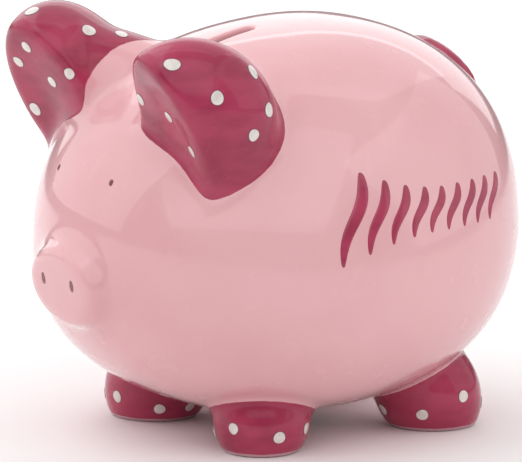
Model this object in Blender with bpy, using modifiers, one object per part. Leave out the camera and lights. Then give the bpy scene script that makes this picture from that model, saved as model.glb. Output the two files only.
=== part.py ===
"""A ceramic piggy bank: one hollow slip-cast body, and the rubber stopper in its belly.

Metres, +Z up. The pig faces -Y, its left flank is +X, and it stands on its four feet at z = 0.
The cast form is a distance field (negative inside), joined from a few rounded solids with soft
fillets. Blender's primitives give the rough mesh, Remesh joins them, and the mesh then settles
on the field. Booleans cut the cavity, the coin slot, the nostrils and the stopper's hole.
"""

import math

import bmesh
import bpy
import numpy as np
from mathutils import Euler, Matrix, Vector

# The egg-shaped barrel of the body.
BODY_HALF_LENGTH = 0.095
BODY_HALF_WIDTH = 0.0869
BODY_HALF_HEIGHT = 0.0759
BODY_MID_HEIGHT = 0.0845
SIDE_POWER = 2.24
SECTION_POWER = 2.27
WIDER_BEHIND = 0.106
TALLER_BEHIND = 0.051
NARROWER_ABOVE = 0.119
HIGHER_BEHIND = 0.0046

# The ears: an ellipsoid each, cut by the plane of the forward-facing inner side.
EAR_CENTRE = (0.0444, -0.0667, 0.1359)
EAR_RADII = (0.0226, 0.0352, 0.0322)
EAR_TURN = (-46.1, 11.8, -22.2)
EAR_OPENING_NORMAL = (-0.124, -0.893, -0.433)
EAR_OPENING_OFFSET = 0.0052
EAR_LIP = 0.007
EAR_DISH_DEPTH = 0.0016
EAR_DISH_RADIUS = 0.026
EAR_FILLET = 0.012

# The root of each ear: a low mound behind it, where it runs out into the top of the head.
EAR_ROOT_CENTRE = (0.031, -0.050, 0.139)
EAR_ROOT_RADII = (0.018, 0.022, 0.0178)
EAR_ROOT_FILLET = 0.015

# The snout: a wide button that looks slightly down.
SNOUT_TIP = (0.0, -0.0995, 0.0660)
SNOUT_RADII = (0.022, 0.016)
SNOUT_TILT = 10.0
SNOUT_RIM = 0.012
SNOUT_FILLET = 0.016
SNOUT_LENGTH = 0.030
NOSTRIL_APART = 0.0195
NOSTRIL_HEIGHT = 0.0685
NOSTRIL_RADII = (0.0014, 0.0032, 0.0024)

# The feet: ellipsoids that lean out from the belly, flat where they stand.
FRONT_FOOT = (0.0368, -0.0290)
REAR_FOOT = (0.0387, 0.0503)
FOOT_RADII = (0.0205, 0.0195, 0.0248)
FOOT_LEAN = 33.0
FOOT_INSET = 0.0015
FOOT_HEIGHT = 0.0144
FOOT_SOLE_EDGE = 0.004
FOOT_SOLE_TRIM = 0.0004
FOOT_FILLET = 0.007

# The tail: a tapered curl in relief, high on the rump.
TAIL_CENTRE = (0.0, 0.0807, 0.1332)
TAIL_UP = 47.0
TAIL_OUTER_RADIUS = 0.0185
TAIL_INNER_RADIUS = 0.0055
TAIL_TURNS = 1.3
TAIL_START = 250.0
TAIL_THICK = 0.0039
TAIL_THIN = 0.0030
TAIL_LIFT = 0.0005
TAIL_STEPS = 30
TAIL_REACH = 0.034
TAIL_FILLET = 0.006

# The wall, the coin slot and the hole for the stopper.
WALL = 0.0045
SLOT_Y = -0.0265
SLOT_LENGTH = 0.038
SLOT_WIDTH = 0.005
SLOT_TOP = 0.18
SLOT_BOTTOM = 0.13
HOLE_Y = 0.006
HOLE_RADIUS = 0.016
SEAT_RADIUS = 0.0205
SEAT_HEIGHT = 0.0108
BOSS_RADIUS = 0.0245
BOSS_TOP = 0.0160
BOSS_FILLET = 0.004

# The rubber stopper: a flange in the seat, a neck in the hole, and a bead inside the bank.
STOPPER_GAP = 0.0003
FLANGE_RADIUS = 0.0195
FLANGE_THICKNESS = 0.0020
FLANGE_EDGE = 0.0006
BEAD_RADIUS = 0.0168
BEAD_HEIGHT = 0.0036
BEAD_TAPER = 0.0030

# The bounding box is centred on the origin by this shift of the whole pig.
LENGTHWISE_SHIFT = 0.0033

SKIN_VOXEL = 0.0018
SKIN_TRIANGLES = 6000
CAVITY_VOXEL = 0.0045
CAVITY_TRIANGLES = 2000


def clear_scene():
    for item in list(bpy.data.objects):
        bpy.data.objects.remove(item, do_unlink=True)


def new_collection(name):
    collection = bpy.data.collections.new(name)
    bpy.context.scene.collection.children.link(collection)
    return collection


def new_material(name, colour, roughness, metallic=0.0):
    material = bpy.data.materials.new(name)
    material.use_nodes = True
    shader = material.node_tree.nodes["Principled BSDF"]
    shader.inputs["Base Color"].default_value = (*colour, 1.0)
    shader.inputs["Roughness"].default_value = roughness
    shader.inputs["Metallic"].default_value = metallic
    material.diffuse_color = (*colour, 1.0)
    return material


# ---------------------------------------------------------------- distance fields


def soft_union(a, b, width):
    """The lesser of two distances, with a fillet about width wide where they meet."""
    h = np.maximum(width - np.abs(a - b), 0.0) / width
    return np.minimum(a, b) - h ** 3 * width / 6.0


def soft_cut(a, b, width):
    """The greater of two distances, with a rounded edge about width wide."""
    return -soft_union(-a, -b, width)


def mirrored(points):
    """The same points on the pig's left side."""
    left = points.copy()
    left[:, 0] = np.abs(left[:, 0])
    return left


def ellipsoid(local, radii):
    radii = np.array(radii)
    k0 = np.linalg.norm(local / radii, axis=1) + 1e-9
    k1 = np.linalg.norm(local / radii ** 2, axis=1) + 1e-9
    return k0 * (k0 - 1.0) / k1


def barrel(points):
    """The body: a superellipsoid, fuller and higher behind, and narrower above."""
    along = points[:, 1] / BODY_HALF_LENGTH
    half_height = BODY_HALF_HEIGHT * (1.0 + TALLER_BEHIND * along)
    up = (points[:, 2] - BODY_MID_HEIGHT - HIGHER_BEHIND * along) / half_height
    half_width = BODY_HALF_WIDTH * (1.0 + WIDER_BEHIND * along - NARROWER_ABOVE * up)
    x = np.abs(points[:, 0]) / half_width
    y = np.abs(along)
    z = np.abs(up)
    section = x ** SECTION_POWER + z ** SECTION_POWER + 1e-12
    level = (section ** (SIDE_POWER / SECTION_POWER) + y ** SIDE_POWER) ** (1.0 / SIDE_POWER) + 1e-9
    pull = level ** (1.0 - SIDE_POWER)
    across = pull * section ** (SIDE_POWER / SECTION_POWER - 1.0)
    slope_x = across * x ** (SECTION_POWER - 1.0) / half_width
    slope_y = pull * y ** (SIDE_POWER - 1.0) / BODY_HALF_LENGTH
    slope_z = across * z ** (SECTION_POWER - 1.0) / half_height
    return (level - 1.0) / (np.sqrt(slope_x ** 2 + slope_y ** 2 + slope_z ** 2) + 1e-6)


def ear_turn():
    return Euler([math.radians(angle) for angle in EAR_TURN]).to_matrix()


def ear(points):
    left = mirrored(points)
    shell = ellipsoid((left - EAR_CENTRE) @ np.array(ear_turn()), EAR_RADII)
    normal = np.array(EAR_OPENING_NORMAL) / np.linalg.norm(EAR_OPENING_NORMAL)
    out = left @ normal - EAR_OPENING_OFFSET
    in_plane = left - EAR_CENTRE
    in_plane = in_plane - np.outer(in_plane @ normal, normal)
    ratio = np.sum(in_plane ** 2, axis=1) / EAR_DISH_RADIUS ** 2
    dish = EAR_DISH_DEPTH * np.maximum(1.0 - ratio, 0.0) ** 2
    flap = soft_cut(shell, out + dish, EAR_LIP)
    return soft_union(flap, ellipsoid(left - EAR_ROOT_CENTRE, EAR_ROOT_RADII), EAR_ROOT_FILLET)


def snout_turn():
    return Matrix.Rotation(math.radians(SNOUT_TILT), 3, "X")


def snout(points):
    local = (points - SNOUT_TIP) @ np.array(snout_turn())
    across = local[:, [0, 2]]
    button = soft_cut(ellipsoid(across, SNOUT_RADII), -local[:, 1], SNOUT_RIM)
    return np.maximum(button, local[:, 1] - SNOUT_LENGTH)


def foot_turn(place):
    """Axes of a left foot: outwards and down, along the belly, and up the leaning leg."""
    outwards = math.atan2(place[1], place[0])
    return Euler((0.0, -math.radians(FOOT_LEAN), outwards)).to_matrix()


def foot_centre(place):
    reach = 1.0 - FOOT_INSET / math.hypot(*place)
    return Vector((place[0] * reach, place[1] * reach, FOOT_HEIGHT))


def foot(points, place):
    local = (mirrored(points) - np.array(foot_centre(place))) @ np.array(foot_turn(place))
    sole = -points[:, 2] - FOOT_SOLE_TRIM
    return soft_cut(ellipsoid(local, FOOT_RADII), sole, FOOT_SOLE_EDGE)


def tail_route():
    """Points and thicknesses along the curl, from its root to its tip, just above the barrel."""
    side = np.array((1.0, 0.0, 0.0))
    lean = math.radians(TAIL_UP)
    up = np.array((0.0, -math.sin(lean), math.cos(lean)))
    share = np.linspace(0.0, 1.0, TAIL_STEPS)
    angle = math.radians(TAIL_START) + share * TAIL_TURNS * 2.0 * math.pi
    radius = TAIL_OUTER_RADIUS + (TAIL_INNER_RADIUS - TAIL_OUTER_RADIUS) * share
    flat = np.outer(radius * np.cos(angle), side) + np.outer(radius * np.sin(angle), up)
    route = settled(np.array(TAIL_CENTRE) + flat, lambda points: barrel(points) - TAIL_LIFT)
    thickness = TAIL_THICK + (TAIL_THIN - TAIL_THICK) * share
    return route, thickness


def tail(points, route, thickness):
    distance = np.full(len(points), TAIL_REACH)
    near = np.linalg.norm(points - TAIL_CENTRE, axis=1) < TAIL_REACH
    close = points[near]
    best = distance[near]
    for start, end, start_size, end_size in zip(route, route[1:], thickness, thickness[1:]):
        span = end - start
        along = np.clip((close - start) @ span / (span @ span), 0.0, 1.0)
        gap = np.linalg.norm(close - start - np.outer(along, span), axis=1)
        best = np.minimum(best, gap - start_size - (end_size - start_size) * along)
    distance[near] = best
    return distance


def plain_skin(points):
    """The cast form without its tail."""
    form = soft_union(barrel(points), snout(points), SNOUT_FILLET)
    form = soft_union(form, ear(points), EAR_FILLET)
    form = soft_union(form, foot(points, FRONT_FOOT), FOOT_FILLET)
    return soft_union(form, foot(points, REAR_FOOT), FOOT_FILLET)


def skin(points):
    return soft_union(plain_skin(points), tail(points, *tail_route()), TAIL_FILLET)


def cavity(points):
    """The hollow: the form drawn in by the wall, with a boss round the stopper's hole."""
    boss_side = np.hypot(points[:, 0], points[:, 1] - HOLE_Y) - BOSS_RADIUS
    boss = np.maximum(boss_side, points[:, 2] - BOSS_TOP)
    return soft_cut(plain_skin(points) + WALL, -boss, BOSS_FILLET)


def settled(points, field, rounds=6, step=0.0001):
    """The points, moved along the field's slope until they lie on its surface."""
    for _ in range(rounds):
        slope = np.empty_like(points)
        for axis in range(3):
            nudge = np.zeros(3)
            nudge[axis] = step
            slope[:, axis] = (field(points + nudge) - field(points - nudge)) / (2.0 * step)
        steepness = np.maximum(np.sum(slope ** 2, axis=1), 0.05)
        points = points - slope * (field(points) / steepness)[:, None]
    return points


# ---------------------------------------------------------------- rough solids


def add_ball(mesh, centre, turn, radii):
    placing = Matrix.LocRotScale(Vector(centre), turn.to_4x4().to_quaternion(), Vector(radii))
    bmesh.ops.create_uvsphere(mesh, u_segments=64, v_segments=32, radius=1.0, matrix=placing)


def cut_flat(mesh, point, normal):
    """Cuts away what lies beyond a plane and closes the cut."""
    everything = mesh.verts[:] + mesh.edges[:] + mesh.faces[:]
    bmesh.ops.bisect_plane(mesh, geom=everything, plane_co=point, plane_no=normal, clear_outer=True)
    rim = [edge for edge in mesh.edges if edge.is_boundary]
    bmesh.ops.holes_fill(mesh, edges=rim)


def add_to(target, part):
    piece = bpy.data.meshes.new("piece")
    part.to_mesh(piece)
    part.free()
    target.from_mesh(piece)
    bpy.data.meshes.remove(piece)


def rough_ear(side):
    part = bmesh.new()
    add_ball(part, EAR_CENTRE, ear_turn(), EAR_RADII)
    normal = Vector(EAR_OPENING_NORMAL).normalized()
    cut_flat(part, normal * EAR_OPENING_OFFSET, normal)
    add_ball(part, EAR_ROOT_CENTRE, Matrix.Identity(3), EAR_ROOT_RADII)
    bmesh.ops.scale(part, vec=(side, 1.0, 1.0), verts=part.verts)
    if side < 0:
        bmesh.ops.reverse_faces(part, faces=part.faces)
    return part


def rough_foot(side, place):
    part = bmesh.new()
    add_ball(part, foot_centre(place), foot_turn(place), FOOT_RADII)
    cut_flat(part, Vector((0.0, 0.0, -FOOT_SOLE_TRIM)), Vector((0.0, 0.0, -1.0)))
    bmesh.ops.scale(part, vec=(side, 1.0, 1.0), verts=part.verts)
    if side < 0:
        bmesh.ops.reverse_faces(part, faces=part.faces)
    return part


def rough_snout():
    part = bmesh.new()
    bmesh.ops.create_cone(part, cap_ends=True, segments=64, radius1=1.0, radius2=1.0, depth=1.0)
    lengthwise = Matrix.Rotation(math.radians(90.0), 4, "X")
    size = Matrix.Diagonal((SNOUT_RADII[0], SNOUT_LENGTH, SNOUT_RADII[1], 1.0))
    middle = Matrix.Translation((0.0, SNOUT_LENGTH / 2.0, 0.0))
    placing = Matrix.Translation(SNOUT_TIP) @ snout_turn().to_4x4() @ middle @ size @ lengthwise
    bmesh.ops.transform(part, matrix=placing, verts=part.verts)
    return part


def rough_tail():
    part = bmesh.new()
    for place, thickness in zip(*tail_route()):
        spot = Matrix.Translation(place)
        bmesh.ops.create_icosphere(part, subdivisions=3, radius=thickness, matrix=spot)
    return part


def rough_pig(with_tail):
    mesh = bmesh.new()
    middle = (0.0, 0.0, BODY_MID_HEIGHT)
    add_ball(mesh, middle, Matrix.Identity(3), (BODY_HALF_WIDTH, BODY_HALF_LENGTH, BODY_HALF_HEIGHT))
    settle_mesh(mesh, barrel, rounds=1)
    add_to(mesh, rough_snout())
    if with_tail:
        add_to(mesh, rough_tail())
    for side in (1.0, -1.0):
        add_to(mesh, rough_ear(side))
        add_to(mesh, rough_foot(side, FRONT_FOOT))
        add_to(mesh, rough_foot(side, REAR_FOOT))
    return mesh


def settle_mesh(mesh, field, rounds=3):
    """Evens the vertices out and moves them onto the field, a few times over."""
    for _ in range(rounds):
        bmesh.ops.smooth_vert(
            mesh, verts=mesh.verts, factor=0.5, use_axis_x=True, use_axis_y=True, use_axis_z=True
        )
        points = np.array([vertex.co for vertex in mesh.verts])
        for vertex, place in zip(mesh.verts, settled(points, field)):
            vertex.co = place


def cast_form(name, collection, field, voxel, triangles, with_tail=False):
    """The joined rough solids, settled on a field and thinned to a number of triangles."""
    rough = rough_pig(with_tail)
    data = bpy.data.meshes.new(name)
    rough.to_mesh(data)
    rough.free()
    form = bpy.data.objects.new(name, data)
    collection.objects.link(form)
    remesh = form.modifiers.new("join", "REMESH")
    remesh.mode = "VOXEL"
    remesh.voxel_size = voxel
    joined = bpy.data.meshes.new_from_object(form.evaluated_get(bpy.context.evaluated_depsgraph_get()))
    form.modifiers.clear()
    mesh = bmesh.new()
    mesh.from_mesh(joined)
    bpy.data.meshes.remove(joined)
    settle_mesh(mesh, field)
    bmesh.ops.triangulate(mesh, faces=mesh.faces)
    thinning = min(1.0, triangles / len(mesh.faces))
    mesh.to_mesh(data)
    mesh.free()
    thin = form.modifiers.new("thin", "DECIMATE")
    thin.decimate_type = "COLLAPSE"
    thin.ratio = thinning
    thin.use_symmetry = True
    thin.symmetry_axis = "X"
    return form


# ---------------------------------------------------------------- cutters and parts


def as_cutter(item):
    item.hide_render = True
    item.display_type = "WIRE"
    return item


def linked(item, collection):
    """Moves a new primitive from the active collection into its own."""
    for home in list(item.users_collection):
        home.objects.unlink(item)
    collection.objects.link(item)
    return item


def round_cutter(name, collection, place, radius, height, turn=(0.0, 0.0, 0.0), sides=48):
    bpy.ops.mesh.primitive_cylinder_add(vertices=sides, radius=radius, depth=height, location=place, rotation=turn)
    item = linked(bpy.context.object, collection)
    item.name = name
    return as_cutter(item)


def slot_cutter(collection):
    """A blade with rounded ends, as long and wide as the coin slot."""
    height = SLOT_TOP - SLOT_BOTTOM
    bpy.ops.mesh.primitive_cube_add(size=1.0, location=(0.0, SLOT_Y, (SLOT_TOP + SLOT_BOTTOM) / 2.0))
    blade = linked(bpy.context.object, collection)
    blade.name = "slot_cutter"
    blade.scale = (SLOT_WIDTH, SLOT_LENGTH, height)
    bpy.context.view_layer.update()
    blade.data.transform(Matrix.Diagonal((*blade.scale, 1.0)))
    blade.scale = (1.0, 1.0, 1.0)
    rounding = blade.modifiers.new("round_ends", "BEVEL")
    rounding.width = SLOT_WIDTH * 0.48
    rounding.segments = 5
    rounding.limit_method = "WEIGHT"
    weights = blade.data.attributes.new("bevel_weight_edge", "FLOAT", "EDGE")
    for edge in blade.data.edges:
        ends = [blade.data.vertices[index].co for index in edge.vertices]
        weights.data[edge.index].value = 1.0 if abs(ends[0].z - ends[1].z) > height / 2.0 else 0.0
    return as_cutter(blade)


def nostril_cutter(side, collection):
    """A shallow upright slit in the front of the snout."""
    drop = math.tan(math.radians(SNOUT_TILT)) * (NOSTRIL_HEIGHT - SNOUT_TIP[2])
    place = (side * NOSTRIL_APART / 2.0, SNOUT_TIP[1] - drop, NOSTRIL_HEIGHT)
    bpy.ops.mesh.primitive_uv_sphere_add(segments=16, ring_count=8, radius=1.0, location=place)
    item = linked(bpy.context.object, collection)
    item.name = "nostril_cutter_left" if side > 0 else "nostril_cutter_right"
    item.data.transform(Matrix.Diagonal((*NOSTRIL_RADII, 1.0)))
    item.rotation_euler = (math.radians(SNOUT_TILT), 0.0, 0.0)
    return as_cutter(item)


def floor_cutter(collection):
    """Takes the last part of a millimetre off the soles, so that they are flat."""
    depth = 0.02
    bpy.ops.mesh.primitive_cube_add(size=1.0, location=(0.0, 0.0, -depth / 2.0))
    item = linked(bpy.context.object, collection)
    item.name = "floor_cutter"
    item.data.transform(Matrix.Diagonal((0.3, 0.3, depth, 1.0)))
    return as_cutter(item)


def cut(target, cutter):
    boolean = target.modifiers.new(cutter.name, "BOOLEAN")
    boolean.operation = "DIFFERENCE"
    boolean.solver = "EXACT"
    boolean.object = cutter


def make_bank_body(parts, cutters, glaze):
    body = cast_form("bank_body", parts, skin, SKIN_VOXEL, SKIN_TRIANGLES, with_tail=True)
    body.data.materials.append(glaze)
    hollow = as_cutter(cast_form("cavity_cutter", cutters, cavity, CAVITY_VOXEL, CAVITY_TRIANGLES))
    seat_place = (0.0, HOLE_Y, SEAT_HEIGHT / 2.0)
    cut(body, floor_cutter(cutters))
    cut(body, hollow)
    cut(body, slot_cutter(cutters))
    cut(body, nostril_cutter(1.0, cutters))
    cut(body, nostril_cutter(-1.0, cutters))
    cut(body, round_cutter("seat_cutter", cutters, seat_place, SEAT_RADIUS, SEAT_HEIGHT))
    hole_place = (0.0, HOLE_Y, BOSS_TOP)
    hole_depth = 2.0 * BOSS_TOP - SEAT_HEIGHT
    cut(body, round_cutter("hole_cutter", cutters, hole_place, HOLE_RADIUS, hole_depth))
    return body


def make_stopper(parts, rubber):
    """A turned profile: flange below, neck through the wall, and the bead that holds it in."""
    top = SEAT_HEIGHT - STOPPER_GAP
    bottom = top - FLANGE_THICKNESS
    neck = HOLE_RADIUS - STOPPER_GAP
    bead = BOSS_TOP + STOPPER_GAP
    profile = [
        (0.0, bead + BEAD_HEIGHT),
        (BEAD_RADIUS - BEAD_TAPER, bead + BEAD_HEIGHT),
        (BEAD_RADIUS - BEAD_TAPER / 4.0, bead + BEAD_HEIGHT / 2.0),
        (BEAD_RADIUS, bead + FLANGE_EDGE),
        (BEAD_RADIUS - FLANGE_EDGE, bead),
        (neck, bead),
        (neck, top),
        (FLANGE_RADIUS, top),
        (FLANGE_RADIUS, bottom + FLANGE_EDGE),
        (FLANGE_RADIUS - FLANGE_EDGE, bottom),
        (0.0, bottom),
    ]
    data = bpy.data.meshes.new("rubber_stopper")
    edges = [(index, index + 1) for index in range(len(profile) - 1)]
    data.from_pydata([(radius, 0.0, height) for radius, height in profile], edges, [])
    stopper = bpy.data.objects.new("rubber_stopper", data)
    stopper.location = (0.0, HOLE_Y, 0.0)
    parts.objects.link(stopper)
    turned = stopper.modifiers.new("turn", "SCREW")
    turned.steps = 36
    turned.render_steps = 36
    turned.use_merge_vertices = True
    turned.merge_threshold = 0.00005
    data.materials.append(rubber)
    return stopper


def main():
    clear_scene()
    parts = new_collection("piggy_bank")
    cutters = new_collection("cutters")
    glaze = new_material("pink_glaze", (0.72, 0.40, 0.42), 0.08)
    rubber = new_material("stopper_rubber", (0.72, 0.70, 0.66), 0.6)
    frame = bpy.data.objects.new("pig_frame", None)
    frame.location = (0.0, LENGTHWISE_SHIFT, 0.0)
    parts.objects.link(frame)
    make_bank_body(parts, cutters, glaze)
    make_stopper(parts, rubber)
    for item in list(parts.objects) + list(cutters.objects):
        if item is not frame:
            item.parent = frame


main()
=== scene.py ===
"""The visible model of the ceramic piggy bank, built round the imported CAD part.

The glazed skin is one fine mesh that lies on a distance field (metres, negative inside). The white
dots and the brush strokes are thin raised pieces that follow the skin. All lengths of the pig are in
its own coordinates, which placing_in_frame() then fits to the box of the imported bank_body.
"""

import math

import bmesh
import bpy
import numpy as np
from mathutils import Euler, Matrix, Vector


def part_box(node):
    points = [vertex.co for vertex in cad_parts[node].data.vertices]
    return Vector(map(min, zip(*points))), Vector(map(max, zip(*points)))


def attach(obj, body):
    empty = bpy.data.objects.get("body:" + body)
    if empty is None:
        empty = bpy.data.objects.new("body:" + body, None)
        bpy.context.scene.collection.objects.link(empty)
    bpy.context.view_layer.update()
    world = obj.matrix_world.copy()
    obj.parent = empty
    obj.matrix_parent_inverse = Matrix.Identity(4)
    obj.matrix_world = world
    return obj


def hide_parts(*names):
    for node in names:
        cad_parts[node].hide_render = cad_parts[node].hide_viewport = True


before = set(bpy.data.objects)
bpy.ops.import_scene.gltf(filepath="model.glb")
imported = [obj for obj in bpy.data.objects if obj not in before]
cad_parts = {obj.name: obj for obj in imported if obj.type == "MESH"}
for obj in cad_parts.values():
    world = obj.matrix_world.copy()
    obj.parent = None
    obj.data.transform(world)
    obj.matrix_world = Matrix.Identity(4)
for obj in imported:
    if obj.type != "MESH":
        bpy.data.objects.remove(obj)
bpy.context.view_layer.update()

# The egg-shaped barrel of the body.
BODY_HALF_LENGTH = 0.095
BODY_HALF_WIDTH = 0.0869
BODY_HALF_HEIGHT = 0.0759
BODY_MID_HEIGHT = 0.0845
SIDE_POWER = 2.24
SECTION_POWER = 2.27
WIDER_BEHIND = 0.106
TALLER_BEHIND = 0.051
NARROWER_ABOVE = 0.119
HIGHER_BEHIND = 0.0046

# The ears: an ellipsoid each, cut by the plane of the forward-facing inner side.
EAR_CENTRE = (0.0444, -0.0667, 0.1359)
EAR_RADII = (0.0226, 0.0352, 0.0322)
EAR_TURN = (-46.1, 11.8, -22.2)
EAR_OPENING_NORMAL = (-0.124, -0.893, -0.433)
EAR_OPENING_OFFSET = 0.0052
EAR_LIP = 0.007
EAR_DISH_DEPTH = 0.0016
EAR_DISH_RADIUS = 0.026
EAR_FILLET = 0.012

# The root of each ear: a low mound behind it, where it runs out into the top of the head.
EAR_ROOT_CENTRE = (0.031, -0.050, 0.139)
EAR_ROOT_RADII = (0.018, 0.022, 0.0178)
EAR_ROOT_FILLET = 0.015

# The snout: a wide button that looks slightly down.
SNOUT_TIP = (0.0, -0.0995, 0.0660)
SNOUT_RADII = (0.022, 0.016)
SNOUT_TILT = 10.0
SNOUT_RIM = 0.0095
SNOUT_FILLET = 0.0115
SNOUT_LENGTH = 0.030
NOSTRIL_APART = 0.0195
NOSTRIL_HEIGHT = 0.0685
NOSTRIL_RADII = (0.0011, 0.0030, 0.0023)
NOSTRIL_RIM = 0.0009

# The eyes: two small pressed and painted dots.
EYE_PLACE = (0.0183, -0.0872, 0.1097)
EYE_RADII = (0.0009, 0.0010, 0.0014)
EYE_RIM = 0.0008

# The feet: ellipsoids that lean out from the belly, flat where they stand.
FRONT_FOOT = (0.0368, -0.0290)
REAR_FOOT = (0.0387, 0.0503)
FOOT_RADII = (0.0205, 0.0195, 0.0248)
FOOT_LEAN = 33.0
FOOT_INSET = 0.0015
FOOT_HEIGHT = 0.0144
FOOT_SOLE_EDGE = 0.004
FOOT_SOLE_TRIM = 0.0004
FOOT_FILLET = 0.007

# The tail: a tapered curl in relief, high on the rump.
TAIL_CENTRE = (0.0, 0.0807, 0.1332)
TAIL_UP = 47.0
TAIL_OUTER_RADIUS = 0.0185
TAIL_INNER_RADIUS = 0.0055
TAIL_TURNS = 1.3
TAIL_START = 250.0
TAIL_THICK = 0.0039
TAIL_THIN = 0.0030
TAIL_LIFT = 0.0005
TAIL_STEPS = 30
TAIL_REACH = 0.034
TAIL_FILLET = 0.006

# The wall, the coin slot and the hole for the stopper.
WALL = 0.0045
SLOT_Y = -0.0265
SLOT_LENGTH = 0.038
SLOT_WIDTH = 0.005
SLOT_BOTTOM = 0.138
SLOT_RIM = 0.0026
HOLE_Y = 0.006
HOLE_RADIUS = 0.016
SEAT_RADIUS = 0.0205
SEAT_HEIGHT = 0.0108
SEAT_RIM = 0.0012
BOSS_RADIUS = 0.0245
BOSS_TOP = 0.0160
BOSS_FILLET = 0.004
WELL_TOP = 0.0180

# The painted areas end on the fillet round each ear, foot and tail: how far off the middle of it.
EAR_PAINT_EDGE = 0.0012
EAR_PAINT_SIDE = (0.993, -0.118, 0.0)
EAR_PAINT_START = 0.0280
EAR_PAINT_CORNER = 0.010
FOOT_PAINT_EDGE = 0.0004
TAIL_PAINT_EDGE = 0.0004

# The rubber stopper.
STOPPER_GAP = 0.0003
FLANGE_RADIUS = 0.0195
FLANGE_THICKNESS = 0.0020
BEAD_RADIUS = 0.0168
BEAD_HEIGHT = 0.0036
BEAD_TAPER = 0.0030

# How fine the meshes are.
SKIN_VOXEL = 0.0015
CAVITY_VOXEL = 0.0036
BALL_SEGMENTS = 96
BALL_RINGS = 48
ROUND_SIDES = 96
SLOT_FINE_REACH = 0.004
WELL_FINE_REACH = 0.0025
FACE_FINE_REACH = 0.0032

# The cutters of the slot and of the stopper's well reach past the skin.
BLADE_TOP = 0.18
BLADE_SIDES = 32
PLUG_BOTTOM = -0.01

# How close counts as on the skin, on the floor, or on the wall of the hollow.
SLOPE_STEP = 0.00005
ON_SKIN = 0.0001
ON_FLOOR = 0.00002
ON_HOLLOW = 0.0008

MILLIMETRES = 1000.0


# ---------------------------------------------------------------- distance fields


def soft_union(a, b, width):
    """The lesser of two distances, with a fillet about width wide where they meet."""
    h = np.maximum(width - np.abs(a - b), 0.0) / width
    return np.minimum(a, b) - h ** 3 * width / 6.0


def soft_cut(a, b, width):
    """The greater of two distances, with a rounded edge about width wide."""
    return -soft_union(-a, -b, width)


def mirrored(points):
    """The same points on the pig's left side."""
    left = points.copy()
    left[:, 0] = np.abs(left[:, 0])
    return left


def ellipsoid(local, radii):
    """About the distance to an ellipsoid, or to an ellipse where the points have two coordinates."""
    radii = np.array(radii)
    k0 = np.linalg.norm(local / radii, axis=1) + 1e-9
    k1 = np.linalg.norm(local / radii ** 2, axis=1) + 1e-9
    return k0 * (k0 - 1.0) / k1


def barrel(points):
    """The body: a superellipsoid, fuller and higher behind, and narrower above."""
    along = points[:, 1] / BODY_HALF_LENGTH
    half_height = BODY_HALF_HEIGHT * (1.0 + TALLER_BEHIND * along)
    up = (points[:, 2] - BODY_MID_HEIGHT - HIGHER_BEHIND * along) / half_height
    half_width = BODY_HALF_WIDTH * (1.0 + WIDER_BEHIND * along - NARROWER_ABOVE * up)
    x = np.abs(points[:, 0]) / half_width
    y = np.abs(along)
    z = np.abs(up)
    section = x ** SECTION_POWER + z ** SECTION_POWER + 1e-12
    level = (section ** (SIDE_POWER / SECTION_POWER) + y ** SIDE_POWER) ** (1.0 / SIDE_POWER) + 1e-9
    pull = level ** (1.0 - SIDE_POWER)
    across = pull * section ** (SIDE_POWER / SECTION_POWER - 1.0)
    slope_x = across * x ** (SECTION_POWER - 1.0) / half_width
    slope_y = pull * y ** (SIDE_POWER - 1.0) / BODY_HALF_LENGTH
    slope_z = across * z ** (SECTION_POWER - 1.0) / half_height
    return (level - 1.0) / (np.sqrt(slope_x ** 2 + slope_y ** 2 + slope_z ** 2) + 1e-6)


def ear_turn():
    return Euler([math.radians(angle) for angle in EAR_TURN]).to_matrix()


def ear_flap(points):
    """An ellipsoid cut flat in front, with a slight dish in the flat side."""
    left = mirrored(points)
    shell = ellipsoid((left - EAR_CENTRE) @ np.array(ear_turn()), EAR_RADII)
    normal = np.array(EAR_OPENING_NORMAL) / np.linalg.norm(EAR_OPENING_NORMAL)
    out = left @ normal - EAR_OPENING_OFFSET
    in_plane = left - EAR_CENTRE
    in_plane = in_plane - np.outer(in_plane @ normal, normal)
    ratio = np.sum(in_plane ** 2, axis=1) / EAR_DISH_RADIUS ** 2
    dish = EAR_DISH_DEPTH * np.maximum(1.0 - ratio, 0.0) ** 2
    return soft_cut(shell, out + dish, EAR_LIP)


def ear(points):
    """The ear's flap and the mound at its root."""
    root = ellipsoid(mirrored(points) - EAR_ROOT_CENTRE, EAR_ROOT_RADII)
    return soft_union(ear_flap(points), root, EAR_ROOT_FILLET)


def snout_turn():
    return Matrix.Rotation(math.radians(SNOUT_TILT), 3, "X")


def snout(points):
    local = (points - SNOUT_TIP) @ np.array(snout_turn())
    across = local[:, [0, 2]]
    button = soft_cut(ellipsoid(across, SNOUT_RADII), -local[:, 1], SNOUT_RIM)
    return np.maximum(button, local[:, 1] - SNOUT_LENGTH)


def foot_turn(place):
    """Axes of a left foot: outwards and down, along the belly, and up the leaning leg."""
    outwards = math.atan2(place[1], place[0])
    return Euler((0.0, -math.radians(FOOT_LEAN), outwards)).to_matrix()


def foot_centre(place):
    reach = 1.0 - FOOT_INSET / math.hypot(*place)
    return Vector((place[0] * reach, place[1] * reach, FOOT_HEIGHT))


def foot(points, place):
    local = (mirrored(points) - np.array(foot_centre(place))) @ np.array(foot_turn(place))
    sole = -points[:, 2] - FOOT_SOLE_TRIM
    return soft_cut(ellipsoid(local, FOOT_RADII), sole, FOOT_SOLE_EDGE)


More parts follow.
